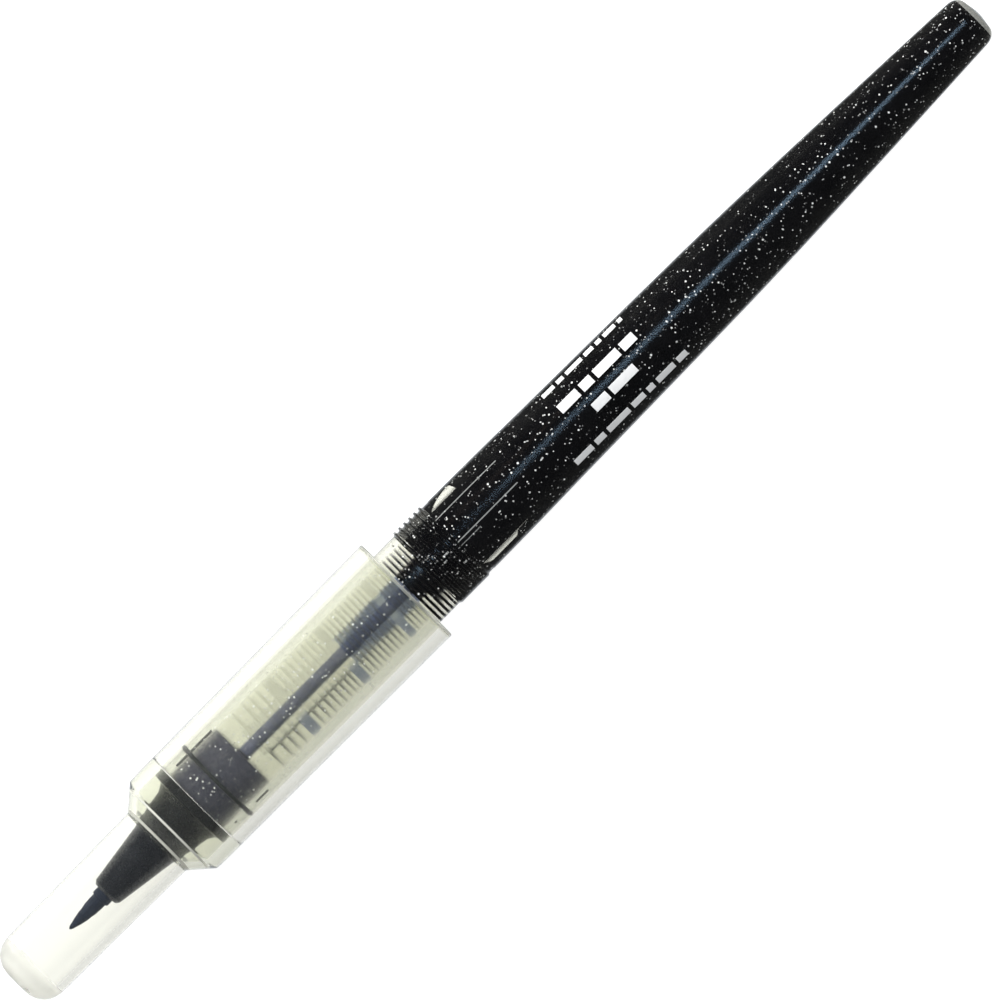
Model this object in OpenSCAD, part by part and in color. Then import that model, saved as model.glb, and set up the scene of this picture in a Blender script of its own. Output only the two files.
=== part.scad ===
// Brush pen with a push-on cap, lying on its side. Millimetres.
// The pen axis runs along X, the writing tip points to -X and the tail to +X.
// Positions along the pen, called a, are counted from the closed nose of the cap.

/* [Overall] */
// Length of the capped pen, from the nose of the cap to the tail
pen_length = 112; // [110:0.5:118]

/* [Cap] */
// Length of the cap
cap_length = 45.4; // [44.6:0.1:46.4]
// Outside radius of the cap at its mouth
cap_mouth_r = 5.25; // [5.15:0.01:5.4]
// Outside radius of the cap sleeve just behind the cone
cap_sleeve_r = 5.08; // [4.95:0.01:5.14]
// Outside radius of the slim nose of the cap
cap_nose_r = 3.22; // [3.15:0.01:3.35]
// Bore radius inside the nose of the cap
cap_nose_bore_r = 2.6; // [2.57:0.01:2.66]
// Thickness of the closed end of the cap
cap_end_wall = 0.8; // [0.6:0.05:1.2]
// Bore radius of the cap sleeve
cap_bore_r = 4.1; // [4.05:0.01:4.15]
// Radial gap between the cap and the two places that hold it
cap_fit = 0.03; // [0.02:0.01:0.08]

/* [Barrel and tank] */
// Outside radius of the barrel
barrel_r = 3.85; // [3.8:0.01:3.9]
// Bore radius of the barrel
barrel_bore_r = 3.15; // [3.12:0.01:3.2]
// Wall thickness around the ink tank
tank_wall = 0.7; // [0.6:0.02:0.8]
// Thickness of the closed tail of the tank
tail_wall = 0.65; // [0.5:0.05:1]

/* [Ring] */
// Outside radius of the ring that grips the bore of the cap
ring_r = 4.02; // [3.95:0.01:4.03]
// Radius of the ring's groove in the barrel
ring_groove_r = 3.6; // [3.5:0.01:3.7]

/* [Thread] */
// Crest radius of the thread on the barrel
thread_crest_r = 4.06; // [4:0.01:4.08]
// Distance between two crests
thread_pitch = 0.607; // [0.58:0.001:0.62]
// Number of crests
thread_crests = 6; // [4:1:6]
// Width of the flat on each crest
thread_land = 0.2; // [0.14:0.01:0.26]

/* [Tip] */
// Radius of the nib at the root of its brush
nib_r = 0.66; // [0.6:0.01:0.72]
// Radius of the nib rod inside the mouthpiece
nib_rod_r = 0.82; // [0.76:0.01:0.84]
// Neck radius of the mouthpiece
land_r = 2.42; // [2.38:0.01:2.44]
// Flange radius of the mouthpiece
flange_r = 3.95; // [3.9:0.01:3.98]

/* [Comb] */
// Radius of the comb fins
fin_r = 3.05; // [2.9:0.01:3.08]
// Radius of the comb core
core_r = 1.4; // [1.2:0.02:1.6]
// Thickness of one thin fin
fin_t = 0.2; // [0.16:0.01:0.24]
// Width of the capillary slit under the comb core
slit_w = 0.2; // [0.14:0.02:0.3]
// Width of the air slot through the fins
air_slot_w = 0.7; // [0.4:0.05:1]

/* [Feed] */
// Radius of the feed rod
feed_r = 0.57; // [0.5:0.01:0.6]

/* [Hidden] */
$fn = 96;
gap = 0.02;
// stations along the pen
barrel_front = 20.92;
holder_end = 26.3;
nib_end = 23.9;
comb_front = 27.55;
comb_end = 50.4;
disc_front = 50.45;
disc_end = 51.05;
plug_end = 58.05;
ring_front = 23.08;
ring_end = 23.46;
thread_first = 47.85;
cone_front = 16.15;
cone_end = 18.2;
// the tank is stretched or shortened behind this station
tank_start = 57.5;
stretch = (pen_length - 112) / 54.5;
function st(a) = a <= tank_start ? a : a + stretch * (a - tank_start);
// outline of the tank: station and outside radius
tank = [
    [51.74, barrel_r + 0.02], [57.5, barrel_r - 0.03], [62.4, 3.73], [67.3, 3.67], [72.2, 3.61],
    [77.2, 3.53], [82.1, 3.45], [85.4, 3.36], [88.6, 3.26], [91.9, 3.15], [95.2, 3.01],
    [98.5, 2.87], [101.8, 2.73], [105, 2.59], [108.3, 2.44], [110.6, 2.32]
];
nt = len(tank);
// thick discs of the comb: station and thickness
discs = [[32.02, 0.9], [37.91, 0.79], [43.25, 0.7]];
// groups of thin fins: first station, number, pitch, and change of the pitch
function fins(first, n, pitch, squeeze) = [for (i = [0 : n - 1]) [first + pitch * i + squeeze * i * i, fin_t]];
comb = concat(
    fins(28.14, 1, 1, 0), fins(29.27, 3, 0.79, 0), [discs[0]],
    fins(32.96, 8, 0.7, -0.0145), [discs[1]],
    fins(38.64, 9, 0.488, 0), [discs[2]],
    fins(43.89, 15, 0.443, 0));
// ink creeps forward along the core from the tank, and fills the gaps behind this station
full_ink = 45.8;
rear_comb = [for (f = comb) if (f[0] > 38.5) f];

// lays a part drawn along Z down onto the pen axis
module lay() translate([-pen_length / 2, 0, cap_mouth_r]) rotate([0, 90, 0]) children();
// a turned part from points of radius and station
module turned(pts) lay() rotate_extrude() polygon(pts);
// a box from station a0 to a1, centred on the axis, w wide, from depth d0 to d1 below the axis
module slot_box(a0, a1, w, d0, d1) lay() translate([d0, -w / 2, a0]) cube([d1 - d0, w, a1 - a0]);

module cap_shell()
    color([0.93, 0.93, 0.88, 0.6])
    turned([
        [0, 0], [1.3, 0.03], [2.0, 0.2], [2.6, 0.58], [3.0, 1.12], [cap_nose_r - 0.03, 1.8], [cap_nose_r, 2.6],
        [cap_nose_r + 0.14, cone_front - 0.55], [cap_nose_r + 0.22, cone_front],
        [cap_sleeve_r - 0.1, cone_end - 0.25], [cap_sleeve_r, cone_end + 0.3], [cap_sleeve_r + 0.03, 20],
        [cap_mouth_r, cap_length - 0.5], [cap_mouth_r, cap_length - 0.12], [cap_mouth_r - 0.12, cap_length],
        [cap_bore_r + 0.15, cap_length], [cap_bore_r, cap_length - 0.3],
        [cap_bore_r, 21.17], [flange_r + cap_fit, 21.05], [flange_r + cap_fit, 18.78],
        [flange_r + cap_fit - 0.08, 18.7], [cap_nose_bore_r + 0.6, 18.66], [cap_nose_bore_r + 0.35, 18.5],
        [cap_nose_bore_r + 0.2, 18.2], [cap_nose_bore_r + 0.2, 17.12], [cap_nose_bore_r + 0.02, 16.94],
        [cap_nose_bore_r - 0.04, cap_end_wall + 0.6], [cap_nose_bore_r - 0.5, cap_end_wall],
        [0, cap_end_wall]
    ]);

module nib()
    color([0.06, 0.07, 0.12])
    turned([
        [0, 6.17], [0.13, 6.22], [0.30, 6.89], [0.45, 7.46], [0.53, 8.06], [nib_r - 0.04, 8.53], [nib_r, 9.43],
        [nib_r, 9.64], [nib_rod_r, 9.7], [nib_rod_r, nib_end], [0, nib_end]
    ]);

module mouthpiece()
    color([0.05, 0.05, 0.06])
    turned([
        [nib_rod_r + gap, 10.33], [1.1, 10.33], [1.3, 10.42], [1.39, 10.6], [2.2, 16.2], [land_r, 16.6], [land_r, 17.4],
        [2.6, 18.1], [2.68, 18.8], [2.76, 19.3], [2.94, 19.75], [3.28, 20.1], [flange_r - 0.06, 20.1], [flange_r, 20.16],
        [flange_r, barrel_front], [2.2, barrel_front], [2.2, 17.9], [nib_rod_r + gap, 17.9]
    ]);

module relay_holder()
    color([0.3, 0.3, 0.33, 0.8])
    turned([
        [nib_rod_r + gap, 17.95], [2.18, 17.95], [2.18, barrel_front + gap], [barrel_bore_r - 0.04, barrel_front + gap],
        [barrel_bore_r - 0.04, holder_end - 0.25],
        [barrel_bore_r - 0.25, holder_end], [feed_r + gap, holder_end],
        [feed_r + gap, nib_end + gap], [nib_rod_r + gap, nib_end + gap]
    ]);

module grip_ring()
    color([0.03, 0.03, 0.03])
    turned([
        [ring_groove_r + gap, ring_front], [ring_r - 0.06, ring_front], [ring_r, ring_front + 0.06],
        [ring_r, ring_end - 0.06], [ring_r - 0.06, ring_end], [ring_groove_r + gap, ring_end]
    ]);

module relay_core()
    color([0.1, 0.1, 0.18])
    turned([[0, nib_end + 0.05], [feed_r, nib_end + 0.05], [feed_r, plug_end + 0.1], [0, plug_end + 0.1]]);

module collector()
    color([0.9, 0.9, 0.88, 0.7])
    difference() {
        turned(concat(
            [[feed_r + gap, comb_front], [core_r, comb_front]],
            [for (f = comb) each [
                [core_r, f[0] - f[1] / 2], [fin_r, f[0] - f[1] / 2],
                [fin_r, f[0] + f[1] / 2], [core_r, f[0] + f[1] / 2]]],
            [[core_r, comb_end], [feed_r + gap, comb_end]]));
        slot_box(comb_front - 1, comb_end + 1, slit_w, feed_r, core_r + 0.5);
        slot_box(comb_front - 1, comb_end + 1, air_slot_w, core_r + 0.3, fin_r + 1);
    }

// one lengthwise rib, ang degrees from the top towards +Y
module rib(ang, w, r1) lay() rotate([0, 0, 180 - ang]) translate([1.5, -w / 2, disc_end - 0.2]) cube([r1 - 1.5, w, plug_end - disc_end + 0.2]);
rib_angles = [42, -4.3, -11, 222, 175.7, 169];

module tank_plug()
    color([0.85, 0.87, 0.9, 0.5])
    union() {
        turned([
            [feed_r + gap, disc_front], [barrel_bore_r - 0.05, disc_front], [barrel_bore_r - 0.05, disc_end],
            [1.9, disc_end], [1.9, plug_end], [feed_r + gap, plug_end]
        ]);
        for (ang = rib_angles) rib(ang, 0.14, barrel_bore_r - 0.08);
    }

module barrel()
    color([0.75, 0.8, 0.85, 0.5])
    turned(concat(
        [[barrel_bore_r, barrel_front], [barrel_r - 0.1, barrel_front], [barrel_r, barrel_front + 0.1],
         [barrel_r, ring_front - gap], [ring_groove_r, ring_front - gap], [ring_groove_r, ring_end + gap],
         [barrel_r, ring_end + gap], [barrel_r, thread_first - 0.3]],
        [for (i = [0 : thread_crests - 1]) let (c = thread_first + thread_pitch * i) each [
            [barrel_r - 0.02, c - thread_pitch / 2 + 0.06], [thread_crest_r, c - thread_land / 2],
            [thread_crest_r, c + thread_land / 2], [barrel_r - 0.02, c + thread_pitch / 2 - 0.06]]],
        [for (p = tank) [p[1], st(p[0])]],
        [[2.26, st(110.95)], [2.13, st(111.28)], [1.9, st(111.6)], [1.55, st(111.82)], [0.8, st(112) - 0.03], [0, st(112)]],
        [[0, st(112) - tail_wall], [1.0, st(112) - tail_wall - 0.02], [1.45, st(112) - tail_wall - 0.25]],
        [for (i = [nt - 1 : -1 : 1]) [tank[i][1] - tank_wall, st(tank[i][0])]],
        [[barrel_bore_r - 0.01, 51.4]]));

module ink_charge()
    color([0.02, 0.02, 0.03])
    difference() {
        turned(concat(
            [[0, st(112) - tail_wall - gap], [1.0 - gap, st(112) - tail_wall - 0.04], [1.43, st(112) - tail_wall - 0.27]],
            [for (i = [nt - 1 : -1 : 1]) [tank[i][1] - tank_wall - gap, st(tank[i][0])]],
            [[barrel_bore_r - 0.03, 51.4], [barrel_bore_r - 0.03, disc_end + gap], [1.9 + gap, disc_end + gap],
             [1.9 + gap, plug_end + gap], [feed_r + gap, plug_end + gap], [feed_r + gap, plug_end + 0.12], [0, plug_end + 0.12]]));
        for (ang = rib_angles) rib(ang, 0.14 + 2 * gap, barrel_bore_r + 0.2);
        // two air pockets caught beside the plug
        lay() translate([-2.2, 2.25, disc_end]) cube([4.4, 2, 3]);
        lay() translate([-2.2, -4.4, disc_end]) cube([4.4, 2, 4.2]);
    }

module comb_ink()
    color([0.02, 0.02, 0.03])
    union() {
        for (i = [0 : len(rear_comb) - 2])
            let (a0 = rear_comb[i][0] + rear_comb[i][1] / 2 + gap, a1 = rear_comb[i + 1][0] - rear_comb[i + 1][1] / 2 - gap,
                 ro = a0 < full_ink ? core_r + 0.25 : fin_r)
            difference() {
                turned([[core_r + gap, a0], [ro, a0], [ro, a1], [core_r + gap, a1]]);
                // the top of each full gap stays full of air
                if (a0 >= full_ink) lay() translate([-5, -4, a0 - 1]) cube([4.4, 8, 3]);
            }
        // the ink in the slit joins the gaps
        slot_box(rear_comb[0][0], comb_end - 0.02, slit_w - 2 * gap, feed_r + 0.15, core_r + 0.2);
    }

cap_shell();
nib();
mouthpiece();
relay_holder();
grip_ring();
relay_core();
collector();
tank_plug();
barrel();
ink_charge();
comb_ink();
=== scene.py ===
# Brush pen with a push-on cap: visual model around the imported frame.
import bpy
import bmesh
import math
import numpy as np
from mathutils import Vector, Matrix


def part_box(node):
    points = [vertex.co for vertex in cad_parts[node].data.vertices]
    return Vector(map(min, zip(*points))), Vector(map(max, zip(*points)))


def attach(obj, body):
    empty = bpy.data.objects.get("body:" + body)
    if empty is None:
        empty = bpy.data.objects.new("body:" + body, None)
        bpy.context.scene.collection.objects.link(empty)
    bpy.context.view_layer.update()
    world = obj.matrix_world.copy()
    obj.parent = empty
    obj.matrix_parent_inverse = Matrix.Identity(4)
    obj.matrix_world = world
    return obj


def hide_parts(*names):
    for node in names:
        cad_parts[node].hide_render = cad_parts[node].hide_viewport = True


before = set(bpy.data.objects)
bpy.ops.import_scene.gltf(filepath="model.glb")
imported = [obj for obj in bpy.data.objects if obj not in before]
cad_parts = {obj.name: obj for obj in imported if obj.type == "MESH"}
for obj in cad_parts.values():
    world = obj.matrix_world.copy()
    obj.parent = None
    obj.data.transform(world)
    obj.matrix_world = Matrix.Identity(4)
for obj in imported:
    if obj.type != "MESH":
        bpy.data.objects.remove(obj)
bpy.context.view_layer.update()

MM = 0.001
cap_lo, cap_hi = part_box("cap_shell")
bar_lo, bar_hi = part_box("barrel")
X0 = cap_lo.x                      # nose of the cap, station a = 0
AX = (cap_lo.z + cap_hi.z) / 2     # height of the pen axis
LEN = (bar_hi.x - cap_lo.x) / MM   # overall length in mm
RNG = np.random.default_rng(20417)

# ------------------------------------------------------------------ camera
# The picture looks straight down on the pen, with the tail to the upper right.
cam_data = bpy.data.cameras.new("camera")
cam = bpy.data.objects.new("camera", cam_data)
bpy.context.scene.collection.objects.link(cam)
cam_data.lens = 420.0
cam_data.sensor_width = 36.0
cam_data.clip_start, cam_data.clip_end = 0.02, 20.0
cam.location = (-0.000158, -0.0000856, AX + 0.4556 * 420.0 / 200.0)
cam.rotation_euler = (0.0, 0.0, math.radians(-45.2507))
bpy.context.scene.camera = cam

# ------------------------------------------------------------------ mesh helpers


def put(verts, faces, name, mats, body, node=None, idx=None, sharp=38.0, recalc=True):
    """A mesh object from vertices in metres. Faces smooth, edges sharper than `sharp` degrees kept hard."""
    me = bpy.data.meshes.new(name)
    me.from_pydata([tuple(map(float, v)) for v in verts], [], [tuple(f) for f in faces])
    ob = bpy.data.objects.new(name, me)
    bpy.context.scene.collection.objects.link(ob)
    for m in mats:
        me.materials.append(m)
    if idx is not None:
        me.polygons.foreach_set("material_index", np.asarray(idx, np.int32))
    finish_mesh(ob, sharp, recalc)
    if body:
        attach(ob, body)
    if node:
        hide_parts(*([node] if isinstance(node, str) else node))
    return ob


def finish_mesh(ob, sharp=38.0, recalc=True):
    bm = bmesh.new()
    bm.from_mesh(ob.data)
    if recalc:
        bmesh.ops.recalc_face_normals(bm, faces=bm.faces)
    lim = math.radians(sharp)
    for f in bm.faces:
        f.smooth = True
    for e in bm.edges:
        e.smooth = not (len(e.link_faces) == 2 and e.calc_face_angle(0.0) > lim)
    bm.to_mesh(ob.data)
    bm.free()
    ob.data.update()


def fillet(pts, closed=False, n=5):
    """Points (r, a) or (r, a, radius): the ones with a radius get a rounded corner."""
    out = []
    m = len(pts)
    for i, p in enumerate(pts):
        rad = p[2] if len(p) > 2 else 0
        if not rad or (not closed and i in (0, m - 1)):
            out.append((p[0], p[1]))
            continue
        p0 = np.array(pts[(i - 1) % m][:2], float)
        p1 = np.array(p[:2], float)
        p2 = np.array(pts[(i + 1) % m][:2], float)
        u, v = p0 - p1, p2 - p1
        lu, lv = np.linalg.norm(u), np.linalg.norm(v)
        u, v = u / lu, v / lv
        ang = math.acos(max(-1, min(1, float(u @ v))))
        d = min(rad / math.tan(ang / 2), lu * 0.49, lv * 0.49)
        rr = d * math.tan(ang / 2)
        bis = (u + v) / np.linalg.norm(u + v)
        c = p1 + bis * rr / math.sin(ang / 2)
        a0, a1 = p1 + u * d - c, p1 + v * d - c
        t0 = math.atan2(a0[1], a0[0])
        t1 = math.atan2(a1[1], a1[0])
        dt = (t1 - t0 + math.pi) % (2 * math.pi) - math.pi
        for k in range(n + 1):
            t = t0 + dt * k / n
            out.append((c[0] + rr * math.cos(t), c[1] + rr * math.sin(t)))
    return out


def smooth_line(pts, step):
    """Catmull-Rom through (a, r) knots, sampled about every `step` mm. Returns (r, a) points."""
    a = np.array([p[0] for p in pts], float)
    r = np.array([p[1] for p in pts], float)
    m = np.gradient(r, a)
    out = []
    for i in range(len(a) - 1):
        h = a[i + 1] - a[i]
        k = max(1, int(round(h / step)))
        for j in range(k):
            t = j / k
            v = ((2 * t**3 - 3 * t**2 + 1) * r[i] + (t**3 - 2 * t**2 + t) * h * m[i]
                 + (-2 * t**3 + 3 * t**2) * r[i + 1] + (t**3 - t**2) * h * m[i + 1])
            out.append((float(v), float(a[i] + h * t)))
    out.append((float(r[-1]), float(a[-1])))
    return out


def at(r, a, phi):
    """Point at radius r mm, station a mm and angle phi from the top towards +Y."""
    return (X0 + a * MM, r * MM * math.sin(phi), AX + r * MM * math.cos(phi))


def lathe_mesh(prof, seg=160, closed=None, bend=None):
    """Turned surface from (r, a[, slot]) points. bend(r, a, phi) may return a new (r, a)."""
    if closed is None:
        closed = prof[0][0] > 1e-9 or prof[-1][0] > 1e-9
    verts, rings = [], []
    phis = [2 * math.pi * k / seg for k in range(seg)]
    for p in prof:
        r, a = p[0], p[1]
        if r < 1e-9:
            rings.append([len(verts)])
            verts.append(at(0, a, 0))
        else:
            rings.append(list(range(len(verts), len(verts) + seg)))
            for ph in phis:
                rr, aa = bend(r, a, ph) if bend else (r, a)
                verts.append(at(rr, aa, ph))
    faces, idx = [], []
    n = len(rings)
    for i in range(n if closed else n - 1):
        A, B = rings[i], rings[(i + 1) % n]
        slot = prof[i][2] if len(prof[i]) > 2 else 0
        for k in range(seg):
            k2 = (k + 1) % seg
            if len(A) == 1 and len(B) == 1:
                continue
            if len(A) == 1:
                faces.append((A[0], B[k], B[k2]))
            elif len(B) == 1:
                faces.append((A[k], B[0], A[k2]))
            else:
                faces.append((A[k], B[k], B[k2], A[k2]))
            idx.append(slot)
    return verts, faces, idx


def box_cutter(a0, a1, w, d0, d1, ang=0.0):
    """A box along the pen, w wide across, from radius d0 to d1, ang degrees from the top towards +Y."""
    t = math.radians(ang)
    ux, uz = math.sin(t), math.cos(t)
    vs = []
    for a in (a0, a1):
        for s in (-w / 2, w / 2):
            for d in (d0, d1):
                y = d * ux + s * uz
                z = d * uz - s * ux
                vs.append((X0 + a * MM, y * MM, AX + z * MM))
    fs = [(0, 1, 3, 2), (4, 6, 7, 5), (0, 4, 5, 1), (2, 3, 7, 6), (0, 2, 6, 4), (1, 5, 7, 3)]
    me = bpy.data.meshes.new("cut")
    me.from_pydata(vs, [], fs)
    bm = bmesh.new()
    bm.from_mesh(me)
    bmesh.ops.recalc_face_normals(bm, faces=bm.faces)
    bm.to_mesh(me)
    bm.free()
    ob = bpy.data.objects.new("cut", me)
    bpy.context.scene.collection.objects.link(ob)
    return ob


def solid_from(verts, faces):
    me = bpy.data.meshes.new("cut")
    me.from_pydata([tuple(v) for v in verts], [], faces)
    bm = bmesh.new()
    bm.from_mesh(me)
    bmesh.ops.recalc_face_normals(bm, faces=bm.faces)
    bm.to_mesh(me)
    bm.free()
    ob = bpy.data.objects.new("cut", me)
    bpy.context.scene.collection.objects.link(ob)
    return ob


def combine(ob, others, how):
    """Exact boolean with other objects, which are then removed."""
    for c in others:
        m = ob.modifiers.new("b", "BOOLEAN")
        m.operation, m.solver, m.object = how, "EXACT", c
    dg = bpy.context.evaluated_depsgraph_get()
    me = bpy.data.meshes.new_from_object(ob.evaluated_get(dg), depsgraph=dg)
    mats = [s.material for s in ob.material_slots]
    ob.modifiers.clear()
    old = ob.data
    ob.data = me
    bpy.data.meshes.remove(old)
    idx = np.zeros(len(me.polygons), np.int32)
    me.polygons.foreach_get("material_index", idx)
    me.materials.clear()
    for x in mats:
        me.materials.append(x)
    me.polygons.foreach_set("material_index", np.minimum(idx, max(len(mats) - 1, 0)))
    for c in others:
        d = c.data
        bpy.data.objects.remove(c)
        bpy.data.meshes.remove(d)
    return ob


# ------------------------------------------------------------------ materials


def new_mat(name):
    m = bpy.data.materials.new(name)
    m.use_nodes = True
    nt = m.node_tree
    nt.nodes.clear()
    out = nt.nodes.new("ShaderNodeOutputMaterial")
    out.location = (900, 0)
    return m, nt, out


def coords(nt, scale, stretch=(1, 1, 1)):
    tc = nt.nodes.new("ShaderNodeTexCoord")
    mp = nt.nodes.new("ShaderNodeMapping")
    mp.inputs["Scale"].default_value = tuple(scale * s for s in stretch)
    nt.links.new(tc.outputs["Object"], mp.inputs["Vector"])
    return mp.outputs["Vector"]


def noise(nt, vec, scale=1.0, detail=3.0, rough=0.55):
    n = nt.nodes.new("ShaderNodeTexNoise")
    n.inputs["Scale"].default_value = scale
    n.inputs["Detail"].default_value = detail
    n.inputs["Roughness"].default_value = rough
    nt.links.new(vec, n.inputs["Vector"])
    return n.outputs["Fac"]


def ramp(nt, fac, stops):
    r = nt.nodes.new("ShaderNodeValToRGB")
    el = r.color_ramp.elements
    while len(el) > 1:
        el.remove(el[-1])
    el[0].position, el[0].color = stops[0][0], (*stops[0][1], 1)
    for p, c in stops[1:]:
        e = el.new(p)
        e.color = (*c, 1)
    nt.links.new(fac, r.inputs["Fac"])
    return r.outputs["Color"]


def remap(nt, val, lo, hi, a=0.3, b=0.7):
    m = nt.nodes.new("ShaderNodeMapRange")
    m.inputs["From Min"].default_value, m.inputs["From Max"].default_value = a, b
    m.inputs["To Min"].default_value, m.inputs["To Max"].default_value = lo, hi
    nt.links.new(val, m.inputs["Value"])
    return m.outputs["Result"]


def bump(nt, height, dist, strength=1.0, normal=None):
    b = nt.nodes.new("ShaderNodeBump")
    b.inputs["Strength"].default_value = strength
    b.inputs["Distance"].default_value = dist
    nt.links.new(height, b.inputs["Height"])
    if normal is not None:
        nt.links.new(normal, b.inputs["Normal"])
    return b.outputs["Normal"]


def principled(nt, color, rough, **kw):
    p = nt.nodes.new("ShaderNodeBsdfPrincipled")
    p.inputs["Base Color"].default_value = (*color, 1)
    p.inputs["Roughness"].default_value = rough
    for k, v in kw.items():
        p.inputs[k.replace("_", " ")].default_value = v
    return p


def lamps_through(nt, shader, tint):
    """Lets lamp light pass a clear wall without caustics."""
    lp = nt.nodes.new("ShaderNodeLightPath")
    either = nt.nodes.new("ShaderNodeMath")
    either.operation = "MAXIMUM"
    nt.links.new(lp.outputs["Is Shadow Ray"], either.inputs[0])
    nt.links.new(lp.outputs["Is Diffuse Ray"], either.inputs[1])
    tr = nt.nodes.new("ShaderNodeBsdfTransparent")
    tr.inputs["Color"].default_value = (*tint, 1)
    mx = nt.nodes.new("ShaderNodeMixShader")
    nt.links.new(either.outputs[0], mx.inputs["Fac"])
    nt.links.new(shader, mx.inputs[1])
    nt.links.new(tr.outputs[0], mx.inputs[2])
    return mx.outputs[0]


def clear_plastic(name, tint, rough, rough_var, ior, haze, haze_color, grain, grain_depth, shadow_tint):
    m, nt, out = new_mat(name)
    p = principled(nt, tint, rough, Transmission_Weight=1.0, IOR=ior)
    vec = coords(nt, 1000.0)
    fine = noise(nt, vec, grain, 2.0)
    wide = noise(nt, vec, 0.35, 2.0)
    nt.links.new(remap(nt, wide, max(rough - rough_var, 0.0), rough + rough_var), p.inputs["Roughness"])
    nrm = bump(nt, fine, grain_depth * MM)
    nt.links.new(nrm, p.inputs["Normal"])
    sh = p.outputs[0]
    if haze > 0:
        d = nt.nodes.new("ShaderNodeBsdfDiffuse")
        d.inputs["Color"].default_value = (*haze_color, 1)
        t = nt.nodes.new("ShaderNodeBsdfTranslucent")
        t.inputs["Color"].default_value = (*haze_color, 1)
        ms = nt.nodes.new("ShaderNodeMixShader")
        ms.inputs["Fac"].default_value = 0.5
        nt.links.new(d.outputs[0], ms.inputs[1])
        nt.links.new(t.outputs[0], ms.inputs[2])
        mx = nt.nodes.new("ShaderNodeMixShader")
        nt.links.new(remap(nt, noise(nt, vec, 7.0, 3.0, 0.7), haze * 0.6, haze * 1.4), mx.inputs["Fac"])
        nt.links.new(sh, mx.inputs[1])
        nt.links.new(ms.outputs[0], mx.inputs[2])
        sh = mx.outputs[0]
    nt.links.new(lamps_through(nt, sh, shadow_tint), out.inputs["Surface"])
    return m


mat_cap_out = clear_plastic("cap_frosted_outside", (0.97, 0.97, 0.955), 0.07, 0.03, 1.49, 0.013, (0.80, 0.88, 1.0),
                            6.0, 0.0006, (0.96, 0.96, 0.94))
mat_cap_in = clear_plastic("cap_inside", (0.965, 0.965, 0.945), 0.05, 0.02, 1.49, 0.009, (0.80, 0.88, 1.0),
                           3.0, 0.0005, (0.97, 0.97, 0.95))
mat_cap_bore = clear_plastic("cap_sleeve_inside", (0.80, 0.81, 0.72), 0.07, 0.02, 1.49, 0.009, (0.80, 0.88, 1.0),
                             3.0, 0.0005, (0.97, 0.97, 0.95))
mat_cap_rim = clear_plastic("cap_rim_frosted", (0.97, 0.97, 0.95), 0.4, 0.05, 1.49, 0.30, (0.86, 0.87, 0.83),
                            6.0, 0.002, (0.93, 0.93, 0.9))
mat_cap_nose = clear_plastic("cap_nose_frosted", (0.97, 0.97, 0.95), 0.3, 0.05, 1.49, 0.2, (0.90, 0.90, 0.87),
                             6.0, 0.002, (0.93, 0.93, 0.9))
mat_cap_cone = clear_plastic("cap_cone_outside", (0.91, 0.92, 0.85), 0.07, 0.03, 1.49, 0.02, (0.9, 0.92, 0.86),
                             6.0, 0.0006, (0.96, 0.96, 0.94))
mat_barrel = clear_plastic("barrel_clear", (0.945, 0.945, 0.895), 0.15, 0.02, 1.50, 0.0, (1, 1, 1),
                           0.6, 0.00006, (0.95, 0.95, 0.92))
mat_end = clear_plastic("barrel_end_satin", (0.93, 0.935, 0.91), 0.2, 0.05, 1.50, 0.42, (0.86, 0.86, 0.82),
                        5.0, 0.002, (0.85, 0.86, 0.84))


def fibre(name, dark, light, rough, along=0.15, depth=0.02):
    """Ink-soaked fibre: streaks along the pen."""
    m, nt, out = new_mat(name)
    p = principled(nt, dark, rough)
    p.inputs["Specular IOR Level"].default_value = 0.3
    vec = coords(nt, 1000.0, (along, 1, 1))
    n1 = noise(nt, vec, 9.0, 5.0, 0.6)
    n2 = noise(nt, coords(nt, 1000.0), 2.5, 3.0)
    nt.links.new(ramp(nt, n1, [(0.3, dark), (0.7, light)]), p.inputs["Base Color"])
    nt.links.new(remap(nt, n2, rough - 0.12, rough + 0.12), p.inputs["Roughness"])
    nt.links.new(bump(nt, n1, depth * MM), p.inputs["Normal"])
    nt.links.new(p.outputs[0], out.inputs["Surface"])
    return m


mat_nib = fibre("nib_fibre", (0.006, 0.009, 0.02), (0.02, 0.028, 0.05), 0.55)
mat_feed = fibre("feed_fibre", (0.14, 0.15, 0.25), (0.27, 0.285, 0.44), 0.7, 0.1, 0.015)


def moulded(name, dark, light, rough, grain=3.0, depth=0.003, spec=0.5):
    m, nt, out = new_mat(name)
    p = principled(nt, dark, rough)
    p.inputs["Specular IOR Level"].default_value = spec
    vec = coords(nt, 1000.0)
    n1 = noise(nt, vec, grain, 4.0)
    n2 = noise(nt, vec, 0.6, 2.0)
    nt.links.new(ramp(nt, n2, [(0.3, dark), (0.7, light)]), p.inputs["Base Color"])
    nt.links.new(remap(nt, n1, rough - 0.06, rough + 0.08), p.inputs["Roughness"])
    nt.links.new(bump(nt, n1, depth * MM), p.inputs["Normal"])
    nt.links.new(p.outputs[0], out.inputs["Surface"])
    return m


mat_black = moulded("black_moulded", (0.006, 0.0065, 0.008), (0.012, 0.013, 0.016), 0.28)
mat_ring = moulded("ring_rubber", (0.022, 0.024, 0.023), (0.034, 0.037, 0.035), 0.55, 6.0, 0.006)


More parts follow.
